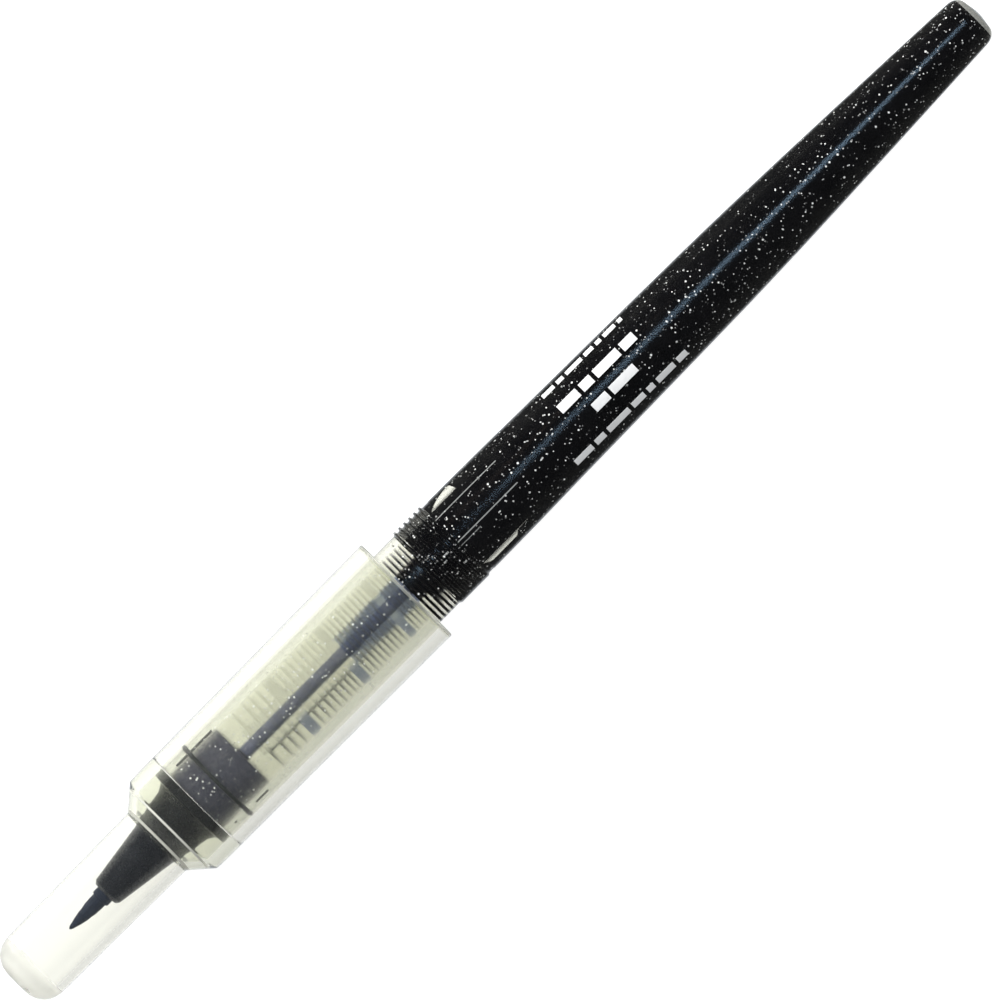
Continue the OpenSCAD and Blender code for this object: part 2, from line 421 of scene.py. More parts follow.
def hazy(name, color, color2, see, rough, grain=2.0, depth=0.003, tint=(1, 1, 1), edge=0.0):
    """Translucent moulding: partly open, partly scattering, with a gloss on top."""
    m, nt, out = new_mat(name)
    p = principled(nt, color, rough)
    p.inputs["Specular IOR Level"].default_value = 0.5
    vec = coords(nt, 1000.0)
    n1 = noise(nt, vec, grain, 4.0)
    n2 = noise(nt, vec, 0.7, 3.0)
    nt.links.new(ramp(nt, n2, [(0.3, color), (0.7, color2)]), p.inputs["Base Color"])
    nt.links.new(remap(nt, n1, rough - 0.05, rough + 0.08), p.inputs["Roughness"])
    nt.links.new(bump(nt, n1, depth * MM), p.inputs["Normal"])
    t = nt.nodes.new("ShaderNodeBsdfTransparent")
    t.inputs["Color"].default_value = (*tint, 1)
    mx = nt.nodes.new("ShaderNodeMixShader")
    open_ = remap(nt, n2, max(see - 0.05, 0), min(see + 0.05, 1))
    if edge:                       # seen edge on, the plastic is deeper and so denser
        lw = nt.nodes.new("ShaderNodeLayerWeight")
        dense = remap(nt, lw.outputs["Facing"], 1.0, 1.0 - edge, 0.0, 1.0)
        mul = nt.nodes.new("ShaderNodeMath")
        mul.operation = "MULTIPLY"
        nt.links.new(open_, mul.inputs[0])
        nt.links.new(dense, mul.inputs[1])
        open_ = mul.outputs[0]
    nt.links.new(open_, mx.inputs["Fac"])
    nt.links.new(p.outputs[0], mx.inputs[1])
    nt.links.new(t.outputs[0], mx.inputs[2])
    nt.links.new(mx.outputs[0], out.inputs["Surface"])
    return m


mat_smoke = hazy("smoke_moulded", (0.075, 0.075, 0.115), (0.095, 0.095, 0.145), 0.10, 0.25, tint=(0.55, 0.55, 0.62))


def comb_mat(name, up, low, lit_side_tint, shaded_side_tint, lit_side_color, shaded_side_color, rough=0.2, core=None):
    """Thin translucent moulding, open and pale on the +Y side, denser and darker on the -Y side: painted shade, as if
    the light fell from +Y.

    up and low are (openness near the core, openness at the rim), core the openness over the core itself."""
    m, nt, out = new_mat(name)
    tc = nt.nodes.new("ShaderNodeTexCoord")
    sp = nt.nodes.new("ShaderNodeSeparateXYZ")
    nt.links.new(tc.outputs["Object"], sp.inputs["Vector"])
    # painted shade: side goes from 0 on the -Y side to 1 on the +Y side, and the -Y side gets the darker colour, tint
    # and lower openness
    side = remap(nt, sp.outputs["Y"], 0.0, 1.0, -0.00145, -0.0010)
    mag = nt.nodes.new("ShaderNodeMath")
    mag.operation = "ABSOLUTE"
    nt.links.new(sp.outputs["Y"], mag.inputs[0])
    s_up = remap(nt, mag.outputs[0], up[0], up[1], 0.0014, 0.0030)
    s_lo = remap(nt, mag.outputs[0], low[0], low[1], 0.0014, 0.0027)
    see = nt.nodes.new("ShaderNodeMapRange")
    nt.links.new(side, see.inputs["Value"])
    nt.links.new(s_lo, see.inputs["To Min"])
    nt.links.new(s_up, see.inputs["To Max"])
    if core is not None:
        over = nt.nodes.new("ShaderNodeMapRange")
        nt.links.new(remap(nt, mag.outputs[0], 0.0, 1.0, 0.00122, 0.00145), over.inputs["Value"])
        over.inputs["To Min"].default_value = core
        nt.links.new(see.outputs["Result"], over.inputs["To Max"])
        see = over
    vec = coords(nt, 1000.0)
    n1 = noise(nt, vec, 2.0, 4.0)
    n2 = noise(nt, vec, 0.7, 3.0)
    cu = ramp(nt, n2, [(0.3, lit_side_color), (0.7, tuple(min(1.0, c * 1.25) for c in lit_side_color))])
    cl = ramp(nt, n2, [(0.3, shaded_side_color), (0.7, tuple(c * 1.3 for c in shaded_side_color))])
    mc = nt.nodes.new("ShaderNodeMix")
    mc.data_type = "RGBA"
    nt.links.new(side, mc.inputs[0])
    nt.links.new(cl, mc.inputs[6])
    nt.links.new(cu, mc.inputs[7])
    p = principled(nt, lit_side_color, rough)
    p.inputs["Specular IOR Level"].default_value = 0.4
    nt.links.new(mc.outputs[2], p.inputs["Base Color"])
    nt.links.new(remap(nt, n1, rough - 0.05, rough + 0.08), p.inputs["Roughness"])
    nt.links.new(bump(nt, n1, 0.003 * MM), p.inputs["Normal"])
    t = nt.nodes.new("ShaderNodeBsdfTransparent")
    nt.links.new(ramp(nt, side, [(0.0, shaded_side_tint), (1.0, lit_side_tint)]), t.inputs["Color"])
    mx = nt.nodes.new("ShaderNodeMixShader")
    nt.links.new(see.outputs["Result"], mx.inputs["Fac"])
    nt.links.new(p.outputs[0], mx.inputs[1])
    nt.links.new(t.outputs[0], mx.inputs[2])
    nt.links.new(mx.outputs[0], out.inputs["Surface"])
    return m


mat_cap_satin = hazy("cap_step_satin", (0.84, 0.84, 0.80), (0.9, 0.9, 0.86), 0.2, 0.4)
# comb materials: the arguments come in pairs, one for the lit +Y side and one for the -Y side, which gets painted
# shade
mat_comb_core = comb_mat("comb_core_translucent", (0.93, 0.93), (0.9, 0.9), (0.97, 0.97, 0.97), (0.93, 0.94, 0.94),
                         (0.22, 0.23, 0.26), (0.16, 0.17, 0.2))
mat_comb_fin = comb_mat("comb_rims_translucent", (0.84, 0.90), (0.36, 0.93), (0.98, 0.98, 0.97), (0.88, 0.88, 0.9),
                        (0.3, 0.3, 0.29), (0.07, 0.07, 0.07))
mat_comb_damp = comb_mat("comb_rims_damp", (0.84, 0.90), (0.36, 0.93), (0.98, 0.98, 0.97), (0.88, 0.88, 0.9),
                         (0.06, 0.065, 0.09), (0.07, 0.07, 0.07), core=0.36)
mat_comb_side = comb_mat("comb_fin_faces_translucent", (0.91, 0.94), (0.76, 0.93), (0.98, 0.98, 0.97), (0.95, 0.95, 0.96),
                         (0.3, 0.3, 0.29), (0.10, 0.10, 0.11))
mat_comb_disc = comb_mat("comb_discs_translucent", (0.89, 0.91), (0.66, 0.72), (0.96, 0.96, 0.95), (0.75, 0.79, 0.94),
                         (0.3, 0.3, 0.32), (0.10, 0.11, 0.15))
mat_comb_inked = hazy("comb_rims_inked", (0.014, 0.014, 0.018), (0.03, 0.03, 0.036), 0.10, 0.2, tint=(0.5, 0.5, 0.55), edge=0.6)
mat_plug = hazy("plug_clear", (0.5, 0.52, 0.54), (0.6, 0.62, 0.64), 0.35, 0.2)


def ink_mat(name, dark, light, spec):
    m, nt, out = new_mat(name)
    p = principled(nt, dark, 0.3)
    p.inputs["Specular IOR Level"].default_value = spec
    n = noise(nt, coords(nt, 1000.0), 0.4, 2.0)
    nt.links.new(ramp(nt, n, [(0.35, dark), (0.65, light)]), p.inputs["Base Color"])
    nt.links.new(remap(nt, n, 0.25, 0.4), p.inputs["Roughness"])
    nt.links.new(p.outputs[0], out.inputs["Surface"])
    return m


mat_ink = ink_mat("ink_black", (0.0018, 0.0018, 0.0026), (0.0034, 0.0033, 0.0044), 0.04)
mat_ink_thin = hazy("ink_film", (0.10, 0.115, 0.19), (0.13, 0.15, 0.24), 0.87, 0.3, tint=(0.92, 0.94, 1.0))
mat_ink_smear = hazy("ink_smear", (0.03, 0.03, 0.033), (0.045, 0.046, 0.05), 0.44, 0.3, tint=(0.72, 0.72, 0.7))


def flake_mat():
    m, nt, out = new_mat("glitter_silver")
    at_ = nt.nodes.new("ShaderNodeAttribute")
    at_.attribute_name = "shine"
    p = principled(nt, (0.96, 0.97, 1.0), 0.45)
    p.inputs["Specular IOR Level"].default_value = 0.3
    n = noise(nt, coords(nt, 1000.0), 30.0, 2.0)
    nt.links.new(remap(nt, n, 0.35, 0.55), p.inputs["Roughness"])
    t = nt.nodes.new("ShaderNodeBsdfTransparent")
    mx = nt.nodes.new("ShaderNodeMixShader")
    nt.links.new(at_.outputs["Fac"], mx.inputs["Fac"])
    nt.links.new(t.outputs[0], mx.inputs[1])
    nt.links.new(p.outputs[0], mx.inputs[2])
    nt.links.new(mx.outputs[0], out.inputs["Surface"])
    return m


mat_flake = flake_mat()
mat_print = moulded("print_white", (0.82, 0.82, 0.82), (0.9, 0.9, 0.9), 0.5, 8.0, 0.002, 0.3)

# ------------------------------------------------------------------ cap
cap_outer = smooth_line([(2.6, 3.22), (6, 3.25), (10, 3.29), (13, 3.33), (15.7, 3.35)], 1.2)
cap_prof = [(0.0, 0.03), (0.5, 0.0), (1.15, 0.02)]
for k in range(1, 13):                       # domed end
    t = math.radians(90 * k / 12)
    cap_prof.append((1.15 + 2.03 * math.sin(t), 2.15 - 2.13 * math.cos(t)))
cap_prof += cap_outer
cone = fillet([(3.35, 15.7), (3.36, 16.3, 0.2), (5.05, 18.25, 0.3), (5.09, 19.3)], n=7)[1:]
cap_prof += cone
cap_prof += smooth_line([(19.5, 5.095), (20.95, 5.103), (24, 5.12), (32, 5.17), (40, 5.22), (45.0, 5.245)], 2.0)
mouth = fillet([(5.245, 45.0), (5.25, 45.4, 0.14), (4.2, 45.4, 0.08), (4.1, 45.1, 0.1), (4.1, 44.5)], n=5)[1:]
n_out = len(cap_prof)
cap_prof += mouth
inner = fillet([
    (4.1, 44.0), (4.1, 21.05, 0.08), (3.98, 20.95, 0.08), (3.98, 18.43), (3.98, 18.18, 0.5), (2.98, 17.0, 0.05), (2.62, 16.8, 0.05),
    (2.6, 14.0), (2.58, 8.0), (2.56, 1.7, 0.9), (1.5, 0.82, 0.6), (0.0, 0.8)], n=8)
cap_prof += inner


def cap_slot(i, r, a):
    if a < 1.9:
        return 5                                   # frosted end of the nose
    if i < n_out - 1:
        return 6 if 16.2 < a < 20.9 else 0
    if i < n_out + len(mouth) - 1 and a > 45.3:
        return 3
    if 18.10 < a < 18.33 and r < 3.99 or 16.83 < a < 17.03 and r > 2.61:
        return 4                                   # two satin rings where the bore steps down
    return 2 if a > 16.8 else 1


prof = [(r, a, cap_slot(i, r, a)) for i, (r, a) in enumerate(cap_prof)]
v, f, idx = lathe_mesh(prof, seg=192, closed=False)
cap = put(v, f, "cap_body", [mat_cap_out, mat_cap_in, mat_cap_bore, mat_cap_rim, mat_cap_satin, mat_cap_nose, mat_cap_cone], "cap", "cap_shell", idx, sharp=50)

# ------------------------------------------------------------------ nib
nib_knots = [(6.17, 0.02), (6.3, 0.13), (6.6, 0.235), (6.89, 0.31), (7.2, 0.395), (7.46, 0.45), (7.8, 0.515), (8.06, 0.53),
             (8.3, 0.575), (8.53, 0.625), (8.9, 0.64), (9.2, 0.66), (9.6, 0.66)]
nib_line = [(r, a) for r, a in smooth_line(nib_knots, 0.05)]
nib_prof = [(0.0, 6.15)] + nib_line + fillet([(0.66, 9.62), (0.68, 9.66, 0.03), (0.80, 9.68, 0.05), (0.82, 9.85)], n=3)
nib_prof += [(0.82, a) for a in np.arange(10.0, 23.7, 0.9)] + [(0.82, 23.85), (0.78, 23.9), (0.0, 23.9)]
grooves = [(math.sin(1.7 * k) * 0.5 + 0.5, k) for k in range(26)]


def nib_bend(r, a, ph):
    if a > 9.64:
        return r * (1 + 0.006 * math.sin(31 * ph)), a
    g = 0.5 + 0.5 * math.sin(23 * ph + 1.6 * math.sin(a * 1.3))
    g2 = math.sin(11 * ph - 0.9 * a) * 0.5 + math.sin(5 * ph + 2.1 * a) * 0.5
    amp = 0.035 * min(1.0, (a - 6.1) / 1.2)
    return r * (1 - amp * g + 0.02 * g2), a


v, f, idx = lathe_mesh(nib_prof, seg=144, closed=False, bend=nib_bend)
v = np.array(v)
tip = np.clip((X0 / MM + 9.0 - v[:, 0] / MM) / 3.0, 0, 1)     # the brush tip leans a little
v[:, 1] += tip**2 * 0.05 * MM
put(v, f, "nib_fibre_tip", [mat_nib], "pen", "nib", idx, sharp=60)

# ------------------------------------------------------------------ mouthpiece
mp = fillet([
    (0.86, 10.33), (1.12, 10.33, 0.1), (1.36, 10.62, 0.2), (2.16, 16.1, 0.6), (2.42, 16.62, 0.2), (2.42, 17.42, 0.15),
    (2.58, 18.1, 0.5), (2.68, 18.8, 1.0), (2.80, 19.4, 0.8), (3.2, 20.02, 0.35), (3.9, 20.14, 0.05), (3.95, 20.22, 0.05), (3.95, 21.0, 0.03),
    (2.2, 21.0), (2.2, 17.9), (0.86, 17.9)], closed=True, n=6)
v, f, idx = lathe_mesh(mp, seg=160, closed=True)
put(v, f, "mouthpiece_cone", [mat_black], "pen", "mouthpiece", idx)

# ------------------------------------------------------------------ holder and ring
hold = fillet([
    (0.85, 17.95), (2.18, 17.95, 0.06), (2.18, 21.02), (3.11, 21.02, 0.05), (3.11, 24.0), (3.11, 26.2, 0.05), (3.0, 26.34, 0.05),
    (0.66, 26.34), (0.66, 26.5, 0.03), (0.6, 26.5), (0.6, 23.92), (0.85, 23.92)], closed=True, n=4)
v, f, idx = lathe_mesh(hold, seg=160, closed=True)
put(v, f, "feed_holder", [mat_smoke], "pen", "relay_holder", idx)
ring = []
for k in range(20):
    t = 2 * math.pi * k / 20
    c, s = math.cos(t), math.sin(t)
    ring.append((3.825 + 0.195 * math.copysign(abs(c) ** 0.6, c), 23.40 + 0.155 * math.copysign(abs(s) ** 0.6, s)))
v, f, idx = lathe_mesh(ring, seg=192, closed=True)
put(v, f, "grip_ring_band", [mat_ring], "pen", "grip_ring", idx, sharp=80)

# ------------------------------------------------------------------ feed rod
rod = [(0.0, 23.95)] + fillet([(0.0, 23.95), (0.57, 23.95, 0.05), (0.57, 26.8), (0.57, 58.05, 0.08), (0.0, 58.15)], n=3)[1:-1]
rod2 = []
for i, p in enumerate(rod):
    rod2.append(p)
    if i + 1 < len(rod) and rod[i + 1][1] - p[1] > 2:
        k = int((rod[i + 1][1] - p[1]) / 0.5)
        rod2 += [(0.57, p[1] + (rod[i + 1][1] - p[1]) * j / k) for j in range(1, k)]
rod2.append((0.0, 58.15))
v, f, idx = lathe_mesh(rod2, seg=96, closed=False, bend=lambda r, a, ph: (r * (1 + 0.012 * math.sin(17 * ph + 0.7 * a) + 0.01 * math.sin(7 * ph - 1.9 * a)), a))
put(v, f, "feed_rod", [mat_feed], "pen", "relay_core", idx)

# ------------------------------------------------------------------ comb
fins = [(28.14, 0.20)] + [(29.27 + 0.79 * i, 0.22) for i in range(3)] + [(32.02, 0.9)]
fins += [(32.96 + 0.7 * i - 0.0145 * i * i, 0.21) for i in range(8)] + [(37.91, 0.79)]
fins += [(38.64 + 0.488 * i, 0.20) for i in range(9)] + [(43.25, 0.7)]
fins += [(43.89 + 0.443 * i, 0.18 if i < 4 else 0.20) for i in range(15)]
pr = [(0.59, 27.55, 0), (1.36, 27.55, 0), (1.4, 27.6, 0)]
for c, w in fins:
    thick = w > 0.4
    rim = 2 if thick else (1 if c < 38.3 else (5 if c < 45.4 else 4))
    face = 2 if thick else (3 if c < 45.4 else 4)
    ro = 3.05
    e = 0.025
    pr += [(1.4, c - w / 2 - 0.02, face), (1.44, c - w / 2, face), (ro - e, c - w / 2 + (0.0 if thick else 0.01), rim), (ro, c - w / 2 + e + 0.01, rim),
           (ro, c + w / 2 - e - 0.01, rim), (ro - e, c + w / 2 - (0.0 if thick else 0.01), face), (1.44, c + w / 2, face), (1.4, c + w / 2 + 0.02, 0)]
pr += [(1.4, 50.4, 0), (0.59, 50.4, 0)]
v, f, idx = lathe_mesh(pr, seg=128, closed=True)
comb = put(v, f, "collector_comb", [mat_comb_core, mat_comb_fin, mat_comb_disc, mat_comb_side, mat_comb_inked, mat_comb_damp], "pen", "collector", idx, sharp=35)
combine(comb, [box_cutter(27, 51, 0.7, 1.7, 4.0, 180), box_cutter(27, 51, 0.2, 0.57, 1.9, 180)], "DIFFERENCE")
finish_mesh(comb, 35, recalc=False)

# ------------------------------------------------------------------ barrel outline
tank_knots = [(51.75, 3.865), (54.5, 3.85), (57.5, 3.82), (62.4, 3.735), (67.3, 3.67), (72.2, 3.605), (77.2, 3.53), (82.1, 3.45), (85.4, 3.365),
              (88.6, 3.265), (91.9, 3.145), (95.2, 3.01), (98.5, 2.875), (101.8, 2.73), (105.0, 2.59), (108.3, 2.44), (110.55, 2.335)]
tank_line = smooth_line(tank_knots, 0.6)
TA = np.array([51.0] + [p[1] for p in tank_line] + [111.2])
TR = np.array([3.86] + [p[0] for p in tank_line] + [2.2])


def r_out(a):
    return 3.85 if a < 51.0 else float(np.interp(a, TA, TR))


PITCH, T0 = 0.573, 48.12


def thread(a, ph):
    """Height of the moulded right-handed thread above the root."""
    turn = (a - T0) / PITCH + ph / (2 * math.pi)
    fade = min(1, max(0, (a - 47.70) / 0.2)) * min(1, max(0, (51.2 - a) / 0.2))
    d = abs((turn + 0.5) % 1.0 - 0.5) * PITCH          # distance to the crest line in mm
    h = 1 - min(1, max(0, (d - 0.055) / 0.15))
    h = h * h * (3 - 2 * h)
    t = min(1, max(0, (-math.sin(ph) - 0.80) / 0.15))  # the parting band on one side is flat
    t = t * t * (3 - 2 * t)
    return (0.23 * h * (1 - t) + 0.14 * t) * fade


outer = fillet([(3.15, 21.02), (3.8, 21.02, 0.06), (3.85, 21.2, 0.1), (3.85, 23.19, 0.02), (3.6, 23.2), (3.6, 23.6), (3.85, 23.61, 0.02), (3.85, 23.9)], n=4)
outer += [(3.85, a) for a in np.arange(25.0, 47.0, 2.0)]
thr = [(3.83, a) for a in np.arange(47.2, 51.75, 0.04)]
tail = []
for k in range(1, 10):
    t = math.radians(86 * k / 9)
    tail.append((1.42 + 0.91 * math.cos(t), 110.62 + 1.18 * math.sin(t)))
tail += [(1.1, 111.86), (0.75, 111.93), (0.4, 111.975), (0.0, 112.0)]
inner_line = [(0.0, 111.35), (0.5, 111.34), (0.95, 111.28), (1.25, 111.16), (1.47, 110.95), (1.58, 110.7)]
for r, a in reversed(tank_line[1:]):
    if a < 110.2:
        inner_line.append((min(3.15, r - 0.7), a))
inner_line += [(3.15, 51.3)] + [(3.15, a) for a in np.arange(50.0, 21.5, -3.0)]
full = outer + thr + tank_line + [(r, a, 1 if 111.28 < a < 111.79 else 0) for r, a in tail] + inner_line
n_thr0, n_thr1 = len(outer), len(outer) + len(thr)


def barrel_bend(r, a, ph):
    if r > 3.6 and 47.1 < a < 51.76:
        return r + thread(a, ph) + 0.02 * (1 - min(1, abs(a - 47.2) / 0.3)), a
    return r, a


v, f, idx = lathe_mesh(full, seg=224, closed=True, bend=barrel_bend)
barrel = put(v, f, "barrel_tank", [mat_barrel, mat_end], "pen", "barrel", idx, sharp=40)

# ------------------------------------------------------------------ ink
WET = 0.015      # the ink wets the wall, so its skin lies a hair inside the plastic


def hit_angle(v_mm, ro, rb, n=1.5):
    """Angle on the bore where a straight-down ray at offset v_mm meets the inner wall."""
    th0, tt = math.asin(v_mm / ro), math.asin(v_mm / ro / n)
    return th0 + math.asin(min(1, v_mm / rb / n)) - tt


def bore(a):
    """Inner radius of the barrel behind the comb."""
    return 3.15 if a < 51.3 else min(3.15, r_out(a) - 0.7)


ink_line = [(0.0, 111.35 + WET), (0.5, 111.34 + WET), (0.96, 111.28 + WET), (1.27, 111.17), (1.485, 110.96), (1.595, 110.7)]
for r, a in reversed(tank_line[1:]):
    if a < 110.2:
        ink_line.append((bore(a) + WET, a))
ink_line += [(3.15 + WET, 51.3), (3.15 + WET, 51.09)]
inkp = ink_line + [(1.9, 51.09), (1.9, 58.05), (0.6, 58.05), (0.6, 58.17), (0.0, 58.17)]
v, f, idx = lathe_mesh(inkp, seg=160, closed=False)
ink = put(v, f, "ink_in_tank", [mat_ink], "pen", "ink_charge", idx)


def pocket(side, a0, a1, lo, hi, n=26):
    """A wedge of air at the wall: lo(t), hi(t) are apparent offsets in mm for t from 0 to 1."""
    vs, fs = [], []
    for i in range(n + 1):
        t = i / n
        a = a0 + (a1 - a0) * t
        p0 = side * hit_angle(lo(t), 3.86, 3.165)
        p1 = side * hit_angle(hi(t), 3.86, 3.165)
        for r, p in ((2.75, p0), (3.4, p0), (3.4, p1), (2.75, p1)):
            vs.append(at(r, a, p))
    for i in range(n):
        b = 4 * i
        for k in range(4):
            k2 = (k + 1) % 4
            fs.append((b + k, b + k2, b + 4 + k2, b + 4 + k))
    fs.append((0, 1, 2, 3))
    fs.append((4 * n + 3, 4 * n + 2, 4 * n + 1, 4 * n))
    return solid_from(vs, fs)


def s2a(s):
    return (s + 681) * 0.082


k = 0.082
top_pocket = pocket(1, s2a(-55.5), s2a(-21.0), lambda t: 36.3 * k,
                    lambda t: (36.5 + 7.6 * math.sin(min(1.0, t * 1.12) ** 0.8 * math.pi / 2) * min(1.0, (1.0 - t) * 9 + 0.25)) * k)
low_pocket = pocket(-1, s2a(-55.0), s2a(8.0), lambda t: 36.0 * k,
                    lambda t: (36.2 + 4.3 * (min(1.0, t * 7) if t < 0.7 else max(0.12, 1 - (t - 0.7) / 0.08 * 0.85))) * k)
combine(ink, [top_pocket, low_pocket], "DIFFERENCE")
finish_mesh(ink, 38, recalc=False)

# ------------------------------------------------------------------ plug with ribs
pl = fillet([(0.6, 50.45), (3.12, 50.45, 0.04), (3.12, 51.05, 0.04), (1.88, 51.05, 0.1), (1.88, 58.05, 0.08), (0.6, 58.05)], closed=True, n=3)
v, f, idx = lathe_mesh(pl, seg=128, closed=True)
plug = put(v, f, "tank_plug_ribbed", [mat_plug], "pen", "tank_plug", idx)


def rib(ang, w, a0=51.0, a1=58.05, n=12):
    """A thin fin from the plug's tube out to the tank wall, which it just touches."""
    t = math.radians(ang)
    ux, uz = math.sin(t), math.cos(t)
    vs, fs = [], []
    for i in range(n + 1):
        a = a0 + (a1 - a0) * i / n
        top = bore(a) + WET + 0.012
        for d, sgn in ((1.5, -1), (1.5, 1), (top, 1), (top, -1)):
            off = sgn * w / 2
            vs.append((X0 + a * MM, (d * ux + off * uz) * MM, AX + (d * uz - off * ux) * MM))
    for i in range(n):
        b = 4 * i
        for k_ in range(4):
            k2 = (k_ + 1) % 4
            fs.append((b + k_, b + k2, b + 4 + k2, b + 4 + k_))
    fs.append((0, 1, 2, 3))
    fs.append((4 * n + 3, 4 * n + 2, 4 * n + 1, 4 * n))
    return solid_from(vs, fs)


ribs = [rib(a_, w_) for a_, w_ in ((42, 0.075), (-4.3, 0.085), (222, 0.075), (175.7, 0.085))]
ribs += [rib(a_, 0.04, a1=53.4) for a_ in (-11, 169)]
combine(plug, ribs, "UNION")
finish_mesh(plug, 35, recalc=False)

# ------------------------------------------------------------------ ink in the comb
vs, fs, ids = [], [], []
SEG = 96


def gap_ring(a0, a1, outer_r):
    base = len(vs)
    for k_ in range(SEG):
        ph = 2 * math.pi * k_ / SEG
        ro = outer_r(ph)
        for r, a in ((1.405, a0), (ro, a0), (ro, a1), (1.405, a1)):
            vs.append(at(r, a, ph))
    for k_ in range(SEG):
        b0, b1 = base + 4 * k_, base + 4 * ((k_ + 1) % SEG)
        for j in range(4):
            j2 = (j + 1) % 4
            fs.append((b0 + j, b0 + j2, b1 + j2, b1 + j))


edges_ = []
for (c0, w0), (c1, w1) in zip(fins[:-1], fins[1:]):
    edges_.append((c0 + w0 / 2 + 0.012, c1 - w1 / 2 - 0.012))
edges_.append((fins[-1][0] + fins[-1][1] / 2 + 0.012, 50.39))


def sector(a0, a1, r0, r1, p0, p1, n=10):
    """A curved patch with thickness, between two angles in degrees from the top towards +Y."""
    base = len(vs)
    for i in range(n + 1):
        ph = math.radians(p0 + (p1 - p0) * i / n)
        for r, a in ((r0, a0), (r1, a0), (r1, a1), (r0, a1)):
            vs.append(at(r, a, ph))
    for i in range(n):
        b0, b1 = base + 4 * i, base + 4 * (i + 1)
        for j in range(4):
            j2 = (j + 1) % 4
            fs.append((b0 + j, b0 + j2, b1 + j2, b1 + j))
    fs.append((base, base + 3, base + 2, base + 1))
    e = base + 4 * n
    fs.append((e, e + 1, e + 2, e + 3))


films = []
for a0, a1 in edges_:
    if a0 < 38.2:
        # a thin dark strip of ink material along the lower (-Y) edge of the core, broken by the fins: painted shade at
        # the core's edge
        sector(a0, a1, 1.405, 1.50, -103, -84)
    elif a0 < 45.75:
        grow = (a0 - 38.2) / 7.5
        n0 = len(fs)
        gap_ring(a0, a1, lambda ph, g=grow: 1.43 + 0.10 * g + 0.04 * g * math.sin(2 * ph + a0))
        films.append((n0, len(fs)))
        # painted shade: a thin dark strip along the lower (-Y) side of the core
        if a0 < 45.2:
            sector(a0, a1, 1.56, 1.6, -98, -84, 3)
    elif a0 < 47.7:
        deep = (1.45, 1.5, 2.7, 2.3, 2.3)[min(4, int((a0 - 45.75) / 0.443))]

        def part_gap(ph, d=deep):
            side = -math.sin(ph)                       # towards -Y
            t = min(1, max(0, (side + 0.25) / 0.5))
            return 1.45 + (d - 1.45) * t
        gap_ring(a0, a1, part_gap)
    else:
        gap_ring(a0, a1, lambda ph: 3.165)
n_gap = len(fs)
# ink held in the core's slit and skin, and over the last fins
for q0, q1, a0, r0, r1, a1 in ((0.62, 0.70, 38.25, 1.30, 1.39, 42.0), (1.30, 1.39, 42.01, 1.30, 1.39, 50.38)):
    base = len(vs)
    for k_ in range(SEG):
        ph = 2 * math.pi * k_ / SEG
        for r, a in ((q0, a0), (q1, a0), (r1, a1), (r0, a1)):
            vs.append(at(r, a, ph))
    for k_ in range(SEG):
        b0, b1 = base + 4 * k_, base + 4 * ((k_ + 1) % SEG)
        for j in range(4):
            j2 = (j + 1) % 4
            fs.append((b0 + j, b0 + j2, b1 + j2, b1 + j))
n_core = len(fs)
sector(47.75, 51.08, 3.06, 3.165, -200, 58, 66)
n0 = len(fs)
sector(47.75, 51.08, 3.06, 3.165, 58, 160, 26)       # thinner over the far side
film_top = (n0, len(fs))
for c, w in fins:                              # ink drawn between the last free rims and the wall
    if 45.4 < c < 47.6:
        sector(c - w / 2 - 0.02, c + w / 2 + 0.02, 3.055, 3.165, -125, 22, 40)
# thin dark strips at the barrel wall beside the feed holder
sector(21.9, 26.0, 3.11, 3.165, 57.2, 62.2, 4)
sector(24.4, 25.8, 3.11, 3.165, -70.0, -65.4, 4)
sector(21.95, 22.15, 3.11, 3.165, -68.8, -65.0, 3)
ids = [0] * n_gap + [1] * (n_core - n_gap) + [0] * (len(fs) - n_core)
for n0, n1 in films:
    ids[n0:n1] = [1] * (n1 - n0)
ids[film_top[0]:film_top[1]] = [2] * (film_top[1] - film_top[0])
put(vs, fs, "ink_in_comb", [mat_ink, mat_ink_thin, mat_ink_smear], "pen", "comb_ink", ids, sharp=30)

